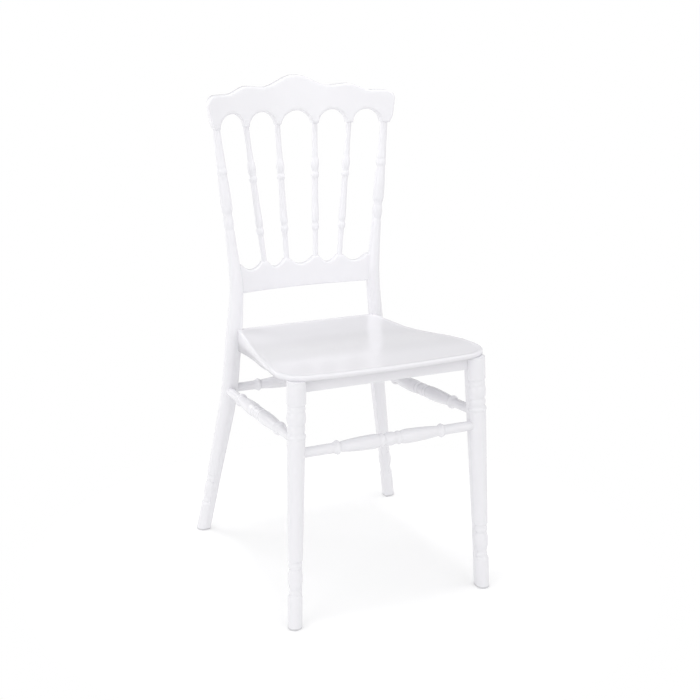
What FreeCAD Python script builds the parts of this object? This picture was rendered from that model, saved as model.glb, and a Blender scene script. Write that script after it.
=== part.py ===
"""Stacking banquet chair in white moulded resin, with turned legs and a spindle back.

Millimetres. +Z is up, the front of the chair faces -Y, and +X is the sitter's left, which is
on the right for someone who looks at the chair from the front. The origin is on the floor,
under the middle of the four feet. "Left" and "right" in the names are as seen from the front.
"""
import FreeCAD, Part
import math
import os

V = FreeCAD.Vector
UP = V(0, 0, 1)

# Stance: where the axes of the legs meet the floor and the seat
foot_depth = 457.0             # front feet to rear feet, between axes
front_foot_spread = 378.0      # between the axes of the front feet
front_top_spread = 343.0       # between the axes of the front legs at the seat
front_top_y = -206.5
rear_foot_spread = 428.0
knee_height = 262.0            # below this the rear post is straight
knee_spread = 339.0
knee_y = 190.5
post_seat_drop = 9.0           # the post's bend is set this far below the seat
post_seat_spread = 307.8
post_seat_y = 173.1
waist_height = 545.0           # above this the rear post is straight again
waist_spread = 293.8
post_top_spread = 345.8

# Seat
seat_front_height = 456.5
seat_rear_height = 438.0
seat_rise_front_y = -165.0     # the seat climbs between these two lines
seat_rise_rear_y = 70.0
seat_front_y = -229.0
seat_front_bow = 7.0
seat_front_corner_x = 150.0
seat_front_half_width = 198.5
seat_front_side_y = -171.0
seat_corner_pull = 28.0        # how far the rounding of the front corners reaches
seat_side_slant = 0.12         # how much the sides still close in at the rear
seat_mid_half_width = 173.0    # half width at mid depth, y = 0
seat_rear_half_width = 148.0
seat_rear_y = 169.0
lip_height = 9.0               # rolled lip at the front
skirt_front_y = -139.0         # from here back the side skirt deepens
skirt_rear_depth = 45.0        # of the skirt at the rear posts
seat_wall = 4.5
seat_edge_wall = 6.0
rib_thickness = 3.0
rib_depth = 8.0
rib_pitch = 62.0
boss_radius = 14.0
peg_radius = 8.0
peg_length = 28.0
keeper_thickness = 5.0         # ribs that hold the two seat rails
keeper_depth = 16.0

# Front apron and rear seat rail
apron_front_y = -206.0
apron_thickness = 14.0
apron_height = 28.5
apron_tenon_thickness = 7.0
apron_tenon_height = 15.0
apron_tenon_length = 8.0
rail_front_y = 159.5
rail_thickness = 13.0
rail_height = 28.0
rail_end_wall = 14.0
rail_pocket_length = 36.0
rail_pocket_height = 13.0
rail_pocket_wall = 1.5

# Turned legs: the foot turning is the same on all four
glide_height = 4.0
glide_round = 1.2
glide_stem_radius = 5.0
glide_stem_length = 16.0
foot_radius = 12.9
foot_height = 56.5
foot_neck_radius = 10.2
foot_neck_length = 7.0
foot_ring_length = 6.0
foot_ring_bulge = 0.9
foot_waist_length = 6.0
ball_length = 33.5
ball_end_radius = 11.0
ball_bulge = 2.4
collar_groove_length = 3.5
collar_length = 8.0
collar_radius = 11.2
collar_bulge = 0.9
shoulder_length = 7.0
taper_foot_radius = 13.1

# Turning at the top of the front legs, named from the taper up
taper_top_radius = 15.8
top_turning_length = 101.5     # from the end of the taper to the seat
top_groove_radius = 14.8
top_groove_length = 3.5
top_bead_length = 9.0
top_bead_bulge = 1.7
top_ring_length = 9.5
top_ring_bulge = 0.7
barrel_length = 22.0
barrel_bulge = 2.0
head_radius = 16.7             # plain drum under the seat
squared_corner_inset = 0.3     # the plain corner is this much inside the turned outline
squared_corner_round = 3.0

# Rear posts
post_taper_radius = 14.8       # at the knee
post_seat_radius = 14.6
post_waist_radius = 12.6
post_neck_radius = 9.2         # above the lower back rail
post_neck_height = 629.0
post_lower_bead_height = 636.0
post_lower_bead_length = 23.0
post_groove_radius = 8.6
post_groove_length = 7.0
post_groove_hollow = 0.4
post_vase_radius = 10.9
post_vase_shoulder = 12.0
post_vase_length = 60.0
post_vase_bulge = 0.7
post_upper_bead_length = 13.0
post_upper_bead_bulge = 1.3
post_ring_length = 10.0
post_ring_bulge = 0.5
post_top_radius = 6.7
post_tenon_radius = 4.6
post_tenon_length = 16.0
corner_fade_height = 560.0     # the squared corner has died out here
corner_fade_size = 8.6

# Back: both rails and the spindles lie on one leaning, curved surface
back_radius = 435.0
back_lean = 0.0704             # rearward step per unit of height
back_bottom_y = 197.7          # at the middle of the top of the lower rail
rail_top_height = 563.0
scallop_depth = 12.8
cusp_half_width = 6.0
rail_bottom_height = 506.0
rail_bottom_rise = 2.8
back_rail_thickness = 15.0
back_rail_tenon_height = 30.0
back_rail_tenon_thickness = 7.0
back_rail_tenon_length = 7.0
crest_bottom_height = 823.0
arch_height = 26.0
crest_thickness = 18.0
crest_hump_height = 916.0
crest_hump_flat = 4.0
crest_dip_x = 68.0
crest_dip_height = 895.4
crest_shoulder_x = 105.0
crest_shoulder_height = 898.4
crest_end_x = 148.0
crest_end_height = 885.5
crest_half_width = 191.0
crest_corner_radius = 17.0
ear_foot_half_width = 7.4
ear_slope_height = 12.0
ear_slope_width = 6.0

# Spindles
spindle_top_x = (39.0, 107.0)
spindle_bottom_x = (31.0, 80.5)
spindle_neck_radius = 5.3
spindle_lower_neck_length = 51.0
spindle_bead_length = 15.0
spindle_bead_bulge = 1.9
spindle_groove_radius = 6.0
spindle_swell_rise = 14.0
spindle_swell_radius = 7.4
spindle_swell_bulge = 0.5
spindle_waist_hollow = 0.3
spindle_waist_radius = 5.8
spindle_waist_length = 74.0
spindle_ring_length = 13.0
spindle_ring_bulge = 2.1
spindle_upper_swell_length = 28.0
spindle_upper_swell_bulge = 2.0
spindle_upper_neck_length = 26.0
spindle_tenon_radius = 3.5
spindle_tenon_length = 11.0

# Stretchers
front_stretcher_height = 319.0
rear_stretcher_height = 313.0
side_stretcher_front_height = 342.5
side_stretcher_rear_height = 308.0
stretcher_neck_radius = 8.7
stretcher_tenon_radius = 5.4
stretcher_tenon_stop = 6.9     # the tenon stops this far short of the axis of the leg
front_bead_offset = 101.0      # from the middle of the stretcher to its outer bead
side_bead_offset = 113.0
rear_bead_offset = 102.0
centre_bead_half = 8.5
centre_bead_radius = 12.0
centre_groove_length = 2.5
centre_groove_radius = 9.8
centre_ring_length = 9.0
centre_ring_bulge = 1.9
centre_ring_radius = 10.6
vase_shoulder_length = 18.0
vase_radius = 12.8
vase_neck_radius = 8.9
vase_bulge = 0.9
outer_bead_rise = 5.6          # the bead climbs over this length and falls over the next
outer_bead_fall = 8.4
outer_bead_bulge = 0.5
outer_bead_radius = 12.8

# Fits and fasteners
fit = 0.15                     # radial play of a tenon or peg in its socket
face_gap = 0.2                 # play between the seat and the rear posts
socket_end_gap = 0.5
lock_screw_radius = 2.0
lock_screw_length = 18.0
lock_screw_drop = 15.0         # below the underside of the lip
rail_screw_radius = 2.0
rail_screw_length = 14.0
rail_screw_x = 72.0
rail_screw_drop = 9.0          # below the underside of the seat panel
screw_head_radius = 4.0
screw_head_height = 2.6
screw_play = 0.1
screw_tip_radius = 0.3
screw_head_edge = 0.7          # how much the head narrows towards its top
screw_recess_width = 0.9
screw_recess_depth = 1.4
bolt_radius = 3.0
bolt_head_radius = 5.0
bolt_head_height = 6.0
bolt_key_radius = 2.4
bolt_key_depth = 3.6
bolt_drop = 14.5               # below the top of the rear seat rail
insert_radius = 4.5
insert_length = 12.0
insert_depth = 0.6             # below the flat of the post
crest_screw_radius = 1.75
crest_screw_length = 9.0
crest_screw_rise = 8.0         # above the shoulder of the post's tenon
crest_screw_head_radius = 3.2
crest_screw_head_height = 1.8
crest_plug_radius = 3.6
crest_plug_length = 3.0

reach = 600.0                  # longer than any piece, for cutting shapes
over_cut = 3.0                 # how far a cutting shape runs past the face it cuts
lip_underside = seat_front_height - lip_height
panel_underside_front = seat_front_height - seat_wall
panel_underside_rear = seat_rear_height - seat_wall
post_seat_height = seat_rear_height - post_seat_drop
skirt_rear_height = seat_rear_height - skirt_rear_depth
apron_bottom_height = panel_underside_front - apron_height
top_bead_height = lip_underside - top_turning_length
bolt_height = panel_underside_rear - bolt_drop


def back_y(x, z):
    """Depth of the middle surface of the back at a width x and a height z."""
    drop = back_radius - math.sqrt(back_radius ** 2 - x ** 2)
    return back_bottom_y + (z - rail_top_height) * back_lean - drop


def along(a, b, z):
    """The point at height z on the line through a and b."""
    return a + (b - a) * ((z - a.z) / (b.z - a.z))


def cylinder(radius, start, end):
    axis = end - start
    return Part.makeCylinder(radius, axis.Length, start, axis)


def taper(low_radius, high_radius, start, end):
    if abs(low_radius - high_radius) < 1e-3:
        return cylinder(low_radius, start, end)
    axis = end - start
    return Part.makeCone(low_radius, high_radius, axis.Length, start, axis)


def box(x0, x1, y0, y1, z0, z1):
    return Part.makeBox(x1 - x0, y1 - y0, z1 - z0, V(x0, y0, z0))


def below(z):
    return box(-reach, reach, -reach, reach, z - 2 * reach, z)


def above(z):
    return box(-reach, reach, -reach, reach, z, z + 2 * reach)


def s_curve(a, b):
    """Edge from a to b that leaves and arrives level."""
    third = (b - a) / 3.0
    third.z = 0
    curve = Part.BezierCurve()
    curve.setPoles([a, a + third, b - third, b])
    return curve.toShape()


def line(a, b):
    return Part.makeLine(a, b)


def arc(a, middle, b):
    return Part.Arc(a, middle, b).toShape()


def prism(edges, direction):
    return Part.Face(Part.Wire(edges)).extrude(direction)


class Turning:
    """Outline of a turned piece, built upward along its axis from a first radius."""

    def __init__(self, radius):
        self.steps = [(0.0, radius, 0.0)]
        self.height = 0.0

    def to(self, length, radius, bulge=0.0):
        """Go on by a length to a new radius, straight or bulging out by the given amount."""
        self.height += length
        self.steps.append((self.height, radius, bulge))
        return self

    def solid(self, start, end):
        """The turned solid with its axis from start to end, its length fitted between them."""
        axis = end - start
        stretch = axis.Length / self.height
        points = [V(radius, 0, height * stretch) for height, radius, _ in self.steps]
        edges = []
        for low, high, step in zip(points, points[1:], self.steps[1:]):
            middle = (low + high) / 2 + V(step[2], 0, 0)
            edges.append(arc(low, middle, high) if step[2] else line(low, high))
        foot, top = V(), V(0, 0, axis.Length)
        edges += [line(points[-1], top), line(top, foot), line(foot, points[0])]
        body = Part.Face(Part.Wire(edges)).revolve(V(), UP, 360)
        body.Placement = FreeCAD.Placement(start, FreeCAD.Rotation(UP, axis))
        return body


# Axes of the legs
def front_foot(side):
    return V(side * front_foot_spread / 2, -foot_depth / 2, 0)


def front_top(side):
    return V(side * front_top_spread / 2, front_top_y, lip_underside)


def rear_foot(side):
    return V(side * rear_foot_spread / 2, foot_depth / 2, 0)


def knee(side):
    return V(side * knee_spread / 2, knee_y, knee_height)


def waist(side):
    x = waist_spread / 2
    return V(side * x, back_y(x, waist_height), waist_height)


def post_top(side):
    x = post_top_spread / 2
    return V(side * x, back_y(x, crest_bottom_height), crest_bottom_height)


def post_curve(side):
    """The bent part of the rear post's axis, from the knee to the waist."""
    seat = V(side * post_seat_spread / 2, post_seat_y, post_seat_height)
    curve = Part.BSplineCurve()
    start_way = (knee(side) - rear_foot(side)).normalize()
    end_way = (post_top(side) - waist(side)).normalize()
    curve.interpolate(Points=[knee(side), seat, waist(side)],
                      InitialTangent=start_way, FinalTangent=end_way)
    return curve


def post_axis(side, z):
    """The point of the rear post's axis at height z."""
    if z <= knee_height:
        return along(rear_foot(side), knee(side), z)
    if z >= waist_height:
        return along(waist(side), post_top(side), z)
    curve = post_curve(side)
    low, high = curve.FirstParameter, curve.LastParameter
    for _ in range(40):
        middle = (low + high) / 2
        if curve.value(middle).z < z:
            low = middle
        else:
            high = middle
    return curve.value(low)


def between(z, heights, values):
    """Value at height z, straight between the given heights and steady beyond them."""
    for low, high, first, last in zip(heights, heights[1:], values, values[1:]):
        if z <= high:
            return first + max(z - low, 0) / (high - low) * (last - first)
    return values[-1]


def front_leg_radius(z):
    """Radius of the front leg without its turned details."""
    heights = (top_of_foot_turning(), top_bead_height, lip_underside)
    return between(z, heights, (taper_foot_radius, taper_top_radius, head_radius))


def post_radius(z):
    """Plain outline of the rear post up to its waist."""
    heights = (top_of_foot_turning(), knee_height, post_seat_height, waist_height)
    radii = (taper_foot_radius, post_taper_radius, post_seat_radius, post_waist_radius)
    return between(z, heights, radii)


def corner_wire(axis, size, inward, depthward):
    """Section of the plain squared corner: a quarter square with one rounded corner."""
    size_x = V(inward * size, 0, 0)
    size_y = V(0, depthward * size, 0)
    r = squared_corner_round
    near_x = axis + size_x + size_y - V(0, depthward * r, 0)
    near_y = axis + size_x + size_y - V(inward * r, 0, 0)
    centre = near_x - V(inward * r, 0, 0)
    turn = centre + V(inward, depthward, 0) * (r / math.sqrt(2))
    return Part.Wire([line(axis, axis + size_x), line(axis + size_x, near_x),
                      arc(near_x, turn, near_y), line(near_y, axis + size_y),
                      line(axis + size_y, axis)])


def squared_corner(stations, inward, depthward):
    """Plain corner of a leg that faces the middle of the chair, through (axis, size) stations."""
    wires = [corner_wire(axis, size, inward, depthward) for axis, size in stations]
    return Part.makeLoft(wires, True, True)


# Turnings
def add_foot_turning(turning):
    turning.to(foot_height, foot_radius)
    turning.to(foot_neck_length, foot_neck_radius, foot_ring_bulge)
    turning.to(foot_ring_length, foot_neck_radius, foot_ring_bulge)
    turning.to(foot_waist_length, foot_neck_radius, -foot_ring_bulge / 2)
    turning.to(ball_length, ball_end_radius, ball_bulge)
    turning.to(collar_groove_length, collar_radius, -collar_bulge)
    turning.to(collar_length, collar_radius, collar_bulge)
    turning.to(shoulder_length, taper_foot_radius, -collar_bulge)
    return turning


def top_of_foot_turning():
    return (foot_height + foot_neck_length + foot_ring_length + foot_waist_length + ball_length
            + collar_groove_length + collar_length + shoulder_length)


def front_leg_turning():
    turning = add_foot_turning(Turning(foot_radius))
    turning.to(top_bead_height - turning.height, taper_top_radius)
    turning.to(top_bead_length, top_groove_radius, top_bead_bulge)
    turning.to(top_groove_length, top_groove_radius, -top_ring_bulge)
    turning.to(top_ring_length, top_groove_radius, top_ring_bulge)
    turning.to(top_groove_length, top_groove_radius, -top_ring_bulge)
    turning.to(barrel_length, top_groove_radius, barrel_bulge)
    turning.to(top_ring_length, top_groove_radius, top_ring_bulge)
    turning.to(top_groove_length, head_radius, -top_ring_bulge)
    turning.to(lip_underside - turning.height, head_radius)
    return turning


def upper_post_turning():
    """From the waist to the shoulder under the crest rail."""
    turning = Turning(post_waist_radius)
    turning.to(post_neck_height - waist_height, post_neck_radius, -post_groove_hollow)
    turning.to(post_lower_bead_height - post_neck_height, post_groove_radius, -post_groove_hollow)
    turning.to(post_lower_bead_length, post_groove_radius, post_upper_bead_bulge)
    turning.to(post_groove_length, post_groove_radius, -post_groove_hollow)
    turning.to(post_vase_shoulder, post_vase_radius, post_vase_bulge)
    turning.to(post_vase_length, post_groove_radius, post_vase_bulge)
    turning.to(post_upper_bead_length, post_groove_radius, post_upper_bead_bulge)
    turning.to(post_ring_length, post_groove_radius, post_ring_bulge)
    turning.to(crest_bottom_height - waist_height - turning.height, post_top_radius)
    return turning


def spindle_turning(length):
    turning = Turning(spindle_neck_radius)
    turning.to(spindle_lower_neck_length, spindle_neck_radius)
    turning.to(spindle_bead_length, spindle_groove_radius, spindle_bead_bulge)
    turning.to(spindle_swell_rise, spindle_swell_radius, spindle_swell_bulge)
    turning.to(spindle_waist_length, spindle_waist_radius, -spindle_waist_hollow)
    turning.to(spindle_ring_length, spindle_groove_radius, spindle_ring_bulge)
    turning.to(spindle_upper_swell_length, spindle_groove_radius, spindle_upper_swell_bulge)
    turning.to(spindle_upper_neck_length, spindle_neck_radius)
    turning.to(length - turning.height, spindle_neck_radius)
    return turning


def half_stretcher_turning(bead_offset, length):
    """From the middle of a stretcher to the end of its neck."""
    turning = Turning(centre_bead_radius)
    turning.to(centre_bead_half, centre_ring_radius, outer_bead_bulge)
    turning.to(centre_groove_length, centre_groove_radius)
    turning.to(centre_ring_length, centre_ring_radius, centre_ring_bulge)
    turning.to(vase_shoulder_length, vase_radius, vase_bulge)
    bead_start = bead_offset - outer_bead_rise
    turning.to(bead_start - turning.height, vase_neck_radius, vase_bulge)
    turning.to(outer_bead_rise, outer_bead_radius, outer_bead_bulge)
    turning.to(outer_bead_fall, vase_neck_radius, -outer_bead_bulge)
    turning.to(length - turning.height, stretcher_neck_radius)
    return turning


# Legs and posts without their sockets
def front_leg_stations():
    heights = (0.0, top_of_foot_turning(), top_bead_height, lip_underside)
    return [(z, front_leg_radius(z) - squared_corner_inset) for z in heights]


def front_leg_body(side):
    low, high = front_foot(side), front_top(side)
    over = along(low, high, lip_underside + over_cut)
    under = along(low, high, -over_cut)
    turned = front_leg_turning().solid(low, high)
    turned = turned.fuse([cylinder(head_radius, high, over), cylinder(foot_radius, under, low)])
    stations = [(along(low, high, z), size) for z, size in front_leg_stations()]
    body = turned.fuse(squared_corner(stations, -side, 1))
    return body.cut([above(lip_underside), below(0)])


def bent_part(side, grow=0.0):
    """The bent middle of a rear post, lofted through circles square to its axis."""
    curve = post_curve(side)
    first, last = curve.FirstParameter, curve.LastParameter
    count = 7
    rings = []
    for i in range(count):
        u = first + (last - first) * i / (count - 1)
        point = curve.value(u)
        way = curve.tangent(u)[0]
        circle = Part.makeCircle(post_radius(point.z) + grow, point, way)
        rings.append(Part.Wire([circle]))
    return Part.makeLoft(rings, True, False)


def post_corner_stations(side, grow=0.0):
    heights = [0.0, top_of_foot_turning(), knee_height]
    steps = 6
    heights += [knee_height + (post_seat_height - knee_height) * i / steps
                for i in range(1, steps + 1)]
    stations = [(post_axis(side, z), post_radius(z) - squared_corner_inset + grow)
                for z in heights]
    full = stations[-1][1]
    fade = 4
    for i in range(1, fade + 1):
        z = post_seat_height + (corner_fade_height - post_seat_height) * i / fade
        size = full + (corner_fade_size + grow - full) * i / fade
        stations.append((post_axis(side, z), size))
    return stations


def post_plain(side, grow=0.0):
    """Plain outline of a rear post up to the waist and a little above, to trim what meets it."""
    low, high = rear_foot(side), knee(side)
    z0 = top_of_foot_turning()
    shank = taper(taper_foot_radius + grow, post_taper_radius + grow, along(low, high, z0), high)
    corner = squared_corner(post_corner_stations(side, grow), -side, -1)
    upper = taper(post_waist_radius + grow, post_neck_radius + grow, waist(side),
                  along(waist(side), post_top(side), post_neck_height))
    return shank.fuse([bent_part(side, grow), corner, upper])


def rear_post_body(side):
    low, high = rear_foot(side), knee(side)
    lower = add_foot_turning(Turning(foot_radius))
    lower.to(knee_height - lower.height, post_taper_radius)
    shank = lower.solid(low, high)
    under = cylinder(foot_radius, along(low, high, -over_cut), low)
    upper = upper_post_turning().solid(waist(side), post_top(side))
    corner = squared_corner(post_corner_stations(side), -side, -1)
    body = shank.fuse([under, bent_part(side), upper, corner])
    return body.cut([above(crest_bottom_height), below(0)])


# Stretchers
def stretcher(start, end, bead_offset, first_blank, last_blank):
    """Turned stretcher between two leg axes, trimmed to the outline of each leg."""
    middle = (start + end) / 2
    half = (end - start).Length / 2
    turning = half_stretcher_turning(bead_offset, half)
    halves = [turning.solid(middle, point) for point in (start, end)]
    body = halves[0].fuse(halves[1]).removeSplitter()
    body = body.cut([first_blank, last_blank])
    body = max(body.Solids, key=lambda solid: solid.Volume)
    way = (end - start).normalize()
    bar = cylinder(stretcher_tenon_radius, start + way * stretcher_tenon_stop,
                   end - way * stretcher_tenon_stop)
    return body.fuse(bar).removeSplitter()


def stretcher_socket(leg_axis_point, far_end):
    """Cutter for the blind hole that takes a stretcher's tenon."""
    way = (far_end - leg_axis_point).normalize()
    start = leg_axis_point + way * (stretcher_tenon_stop - socket_end_gap)
    return cylinder(stretcher_tenon_radius + fit, start, leg_axis_point + way * 2 * head_radius)


def front_stretcher_ends():
    return [along(front_foot(s), front_top(s), front_stretcher_height) for s in (-1, 1)]


def rear_stretcher_ends():
    return [post_axis(s, rear_stretcher_height) for s in (-1, 1)]


def side_stretcher_ends(side):
    return [along(front_foot(side), front_top(side), side_stretcher_front_height),
            post_axis(side, side_stretcher_rear_height)]


# Glides
def glide(low, high, inward, depthward, radius):
    """Plug under a foot: a disc of the foot's own section and a stem up into the foot."""
    over = glide_height + over_cut
    size = radius - squared_corner_inset
    disc = cylinder(foot_radius, along(low, high, -over_cut), along(low, high, over))
    disc = disc.common(taper(foot_radius - glide_round, foot_radius - glide_round + over,
                             low, low + UP * over))
    stations = [(low, size - glide_round), (along(low, high, glide_round), size),
                (along(low, high, over), size)]
    disc = disc.fuse(squared_corner(stations, inward, depthward))
    disc = disc.cut([below(0), above(glide_height)])
    stem = cylinder(glide_stem_radius, along(low, high, glide_height / 2),
                    along(low, high, glide_height + glide_stem_length))
    return disc.fuse(stem).removeSplitter()


def glide_cut(low, high):
    """What a glide takes out of its foot."""
    stem = cylinder(glide_stem_radius + fit, along(low, high, 0),
                    along(low, high, glide_height + glide_stem_length + socket_end_gap))
    return below(glide_height).fuse(stem)


# Seat
def seat_top_edges(drop):
    """Side view of the top of the seat, lowered by drop, from front to rear."""
    front, rear = seat_front_height - drop, seat_rear_height - drop
    a = V(0, -reach, front)
    b = V(0, seat_rise_front_y, front)
    c = V(0, seat_rise_rear_y, rear)
    d = V(0, reach, rear)
    return [line(a, b), s_curve(b, c), line(c, d)]


def under_seat_top(drop):
    """Everything below the top surface of the seat lowered by drop."""
    edges = seat_top_edges(drop)
    front, rear = V(0, -reach, 0), V(0, reach, 0)
    edges += [line(V(0, reach, seat_rear_height - drop), rear), line(rear, front),
              line(front, V(0, -reach, seat_front_height - drop))]
    return prism([edge.translated(V(-reach, 0, 0)) for edge in edges], V(2 * reach, 0, 0))


def under_skirt_edge():
    """Everything below the lower edge of the lip and of the side skirts."""
    front = V(-reach, -reach, lip_underside)
    turn = V(-reach, skirt_front_y, lip_underside)
    post = V(-reach, seat_rear_y, skirt_rear_height)
    end = V(-reach, reach, skirt_rear_height)
    low_end, low_front = V(-reach, reach, 0), V(-reach, -reach, 0)
    points = [front, turn, post, end, low_end, low_front, front]
    return prism([line(a, b) for a, b in zip(points, points[1:])], V(2 * reach, 0, 0))


def seat_plan(inset):
    """Prism over the plan of the seat, set in from its edge."""
    front = seat_front_y + inset
    corner_y = seat_front_y + seat_front_bow + inset
    corner_x = seat_front_corner_x
    side_x = seat_front_half_width - inset
    rear_x = seat_rear_half_width - inset
    rear = seat_rear_y - inset
    edges = [arc(V(-corner_x, corner_y, 0), V(0, front, 0), V(corner_x, corner_y, 0))]
    for s in (1, -1):
        a, b = V(s * corner_x, corner_y, 0), V(s * side_x, seat_front_side_y, 0)
        turn = Part.BezierCurve()
        slant = 2 * seat_front_bow / seat_front_corner_x
        pull = seat_corner_pull
        turn.setPoles([a, a + V(s * pull, pull * slant, 0), b - V(0, pull, 0), b])
        side_curve = Part.BSplineCurve()
        side_curve.interpolate(Points=[b, V(s * (seat_mid_half_width - inset), 0, 0),
                                       V(s * rear_x, rear, 0)],
                               InitialTangent=V(0, 1, 0), FinalTangent=V(-s * seat_side_slant, 1, 0))
        edges += [turn.toShape(), side_curve.toShape()]
    edges.append(line(V(-rear_x, rear, 0), V(rear_x, rear, 0)))
    wire = Part.Wire(Part.sortEdges(edges)[0])
    return Part.Face(wire).extrude(V(0, 0, reach))


def seat_ribs():
    """Grid of ribs, the two keeper ribs and the bosses that stay when the seat is hollowed."""
    half = seat_front_half_width
    ribs = []
    count = int(seat_rear_half_width // rib_pitch)
    for i in range(-count, count + 1):
        x = i * rib_pitch
        ribs.append(box(x - rib_thickness / 2, x + rib_thickness / 2,
                        apron_front_y + apron_thickness, rail_front_y, 0, reach))
    for y in (-2 * rib_pitch, -rib_pitch, 0.0, rib_pitch, 2 * rib_pitch):
        ribs.append(box(-half, half, y - rib_thickness / 2, y + rib_thickness / 2, 0, reach))
    grid = ribs[0].fuse(ribs[1:]).cut(under_seat_top(seat_wall + rib_depth))
    apron_back = apron_front_y + apron_thickness
    inner = front_top_spread / 2 - head_radius - keeper_thickness
    keepers = box(-inner, inner, apron_back, apron_back + keeper_thickness, 0, reach)
    keepers = keepers.fuse(box(-inner + 2 * keeper_depth, inner - 2 * keeper_depth,
                               rail_front_y - keeper_thickness, rail_front_y, 0, reach))
    keepers = keepers.cut(under_seat_top(seat_wall + keeper_depth))
    bosses = [Part.makeCylinder(boss_radius, reach, front_top(s), UP) for s in (-1, 1)]
    return grid.fuse([keepers] + bosses)


def seat_peg(side, grow=0.0):
    low, high = front_foot(side), front_top(side)
    return cylinder(peg_radius + grow, along(low, high, lip_underside - peg_length - 2 * grow),
                    along(low, high, lip_underside + seat_wall))


def seat_panel():
    outer = seat_plan(0.0).common(under_seat_top(0.0)).cut(under_skirt_edge())
    cavity = seat_plan(seat_edge_wall).common(under_seat_top(seat_wall)).cut(seat_ribs())
    body = outer.cut(cavity)
    rear_opening = box(-reach, reach, rail_front_y, seat_rear_y + over_cut,
                       0, panel_underside_rear)
    rail_end = knee_spread / 2
    body = body.cut(rear_opening.common(box(-rail_end, rail_end, -reach, reach, 0, reach)))
    apron_slot = box(-reach, reach, apron_front_y, apron_front_y + apron_thickness,
                     0, panel_underside_front)
    inner = front_top_spread / 2
    body = body.cut(apron_slot.common(box(-inner + boss_radius, inner - boss_radius,
                                          -reach, reach, 0, reach)))
    body = body.fuse([seat_peg(s) for s in (-1, 1)])
    holes = [post_plain(s, face_gap) for s in (-1, 1)]
    holes += [lock_screw_hole(s, lock_screw_radius) for s in (-1, 1)]
    holes += [cylinder(rail_screw_radius + screw_play, a, b) for a, b in rail_screw_lines()]
    body = body.cut(holes)
    return max(body.Solids, key=lambda solid: solid.Volume)


# Rails under the seat
def front_apron(leg_blanks):
    inner = front_top_spread / 2
    body = box(-inner, inner, apron_front_y, apron_front_y + apron_thickness,
               apron_bottom_height, panel_underside_front)
    bosses = [Part.makeCylinder(boss_radius + fit, reach, front_top(s), UP) for s in (-1, 1)]
    body = body.cut(leg_blanks + bosses)
    body = max(body.Solids, key=lambda solid: solid.Volume)
    tenon = apron_tenon_bar(0.0)
    pilots = [cylinder(rail_screw_radius + screw_play, a, b)
              for a, b in rail_screw_lines() if b.y < a.y]
    return body.fuse(tenon).removeSplitter().cut(pilots)


def apron_tenon_bar(grow):
    """Bar whose two ends are the tenons of the front apron, or the cutter for their mortises."""
    inner = front_top_spread / 2 - head_radius + apron_tenon_length + 2 * grow
    y = apron_front_y + apron_thickness / 2
    z = (apron_bottom_height + panel_underside_front) / 2 - lip_height / 2
    return box(-inner, inner, y - apron_tenon_thickness / 2 - grow,
               y + apron_tenon_thickness / 2 + grow, z - apron_tenon_height / 2 - grow,
               z + apron_tenon_height / 2 + grow)


def rail_end_x():
    """Where the inner flat of the rear post stands at the height of the bolts."""
    return abs(post_axis(1, bolt_height).x) - post_radius(bolt_height) + squared_corner_inset


def bolt_y():
    return rail_front_y + rail_thickness / 2


def rear_seat_rail():
    half = post_seat_spread / 2
    body = box(-half, half, rail_front_y, rail_front_y + rail_thickness,
               panel_underside_rear - rail_height, panel_underside_rear)
    body = body.cut([post_plain(s) for s in (-1, 1)])
    body = max(body.Solids, key=lambda solid: solid.Volume)
    end = rail_end_x()
    cuts = []
    for s in (-1, 1):
        x0, x1 = sorted((s * (end - rail_end_wall), s * (end - rail_end_wall - rail_pocket_length)))
        cuts.append(box(x0, x1, rail_front_y - over_cut,
                        rail_front_y + rail_thickness - rail_pocket_wall,
                        bolt_height - rail_pocket_height / 2, bolt_height + rail_pocket_height / 2))
        cuts.append(cylinder(bolt_radius + screw_play, V(0, bolt_y(), bolt_height),
                             V(s * reach, bolt_y(), bolt_height)).common(
                                 box(*sorted((s * (end - rail_end_wall - over_cut), s * reach)),
                                     -reach, reach, 0, reach)))
    cuts += [cylinder(rail_screw_radius + screw_play, a, b)
             for a, b in rail_screw_lines() if b.y > a.y]
    return body.cut(cuts)


# Fasteners
def screw(head_at, tip, shank_radius, head_radius, head_height):
    """Pan head screw with a cross recess, from the underside of its head to its tip."""
    way = (tip - head_at).normalize()
    point_start = tip - way * shank_radius
    shank = cylinder(shank_radius, head_at, point_start)
    point = taper(shank_radius, screw_tip_radius, point_start, tip)
    head = taper(head_radius, head_radius - screw_head_edge, head_at,
                 head_at - way * head_height)
    half, low = screw_recess_width / 2, head_height - screw_recess_depth
    recess = box(-head_radius / 2, head_radius / 2, -half, half, low, head_height)
    recess = recess.fuse(box(-half, half, -head_radius / 2, head_radius / 2, low, head_height))
    recess.Placement = FreeCAD.Placement(head_at, FreeCAD.Rotation(UP, way * -1))
    return head.fuse([shank, point]).cut(recess)


def lock_screw_line(side):
    """From the back flat of a front leg forward into the peg of the seat."""
    z = lip_underside - lock_screw_drop
    axis = along(front_foot(side), front_top(side), z)
    face = axis.y + front_leg_radius(z) - squared_corner_inset
    start = V(axis.x, face - screw_head_height, z)
    return start, start - V(0, lock_screw_length - screw_head_height, 0)


def lock_screw_hole(side, radius):
    start, tip = lock_screw_line(side)
    return cylinder(radius + screw_play, start + V(0, head_radius, 0),
                    tip - V(0, socket_end_gap, 0))


def lock_screw(side):
    start, tip = lock_screw_line(side)
    return screw(start, tip, lock_screw_radius, screw_head_radius, screw_head_height)


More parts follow.
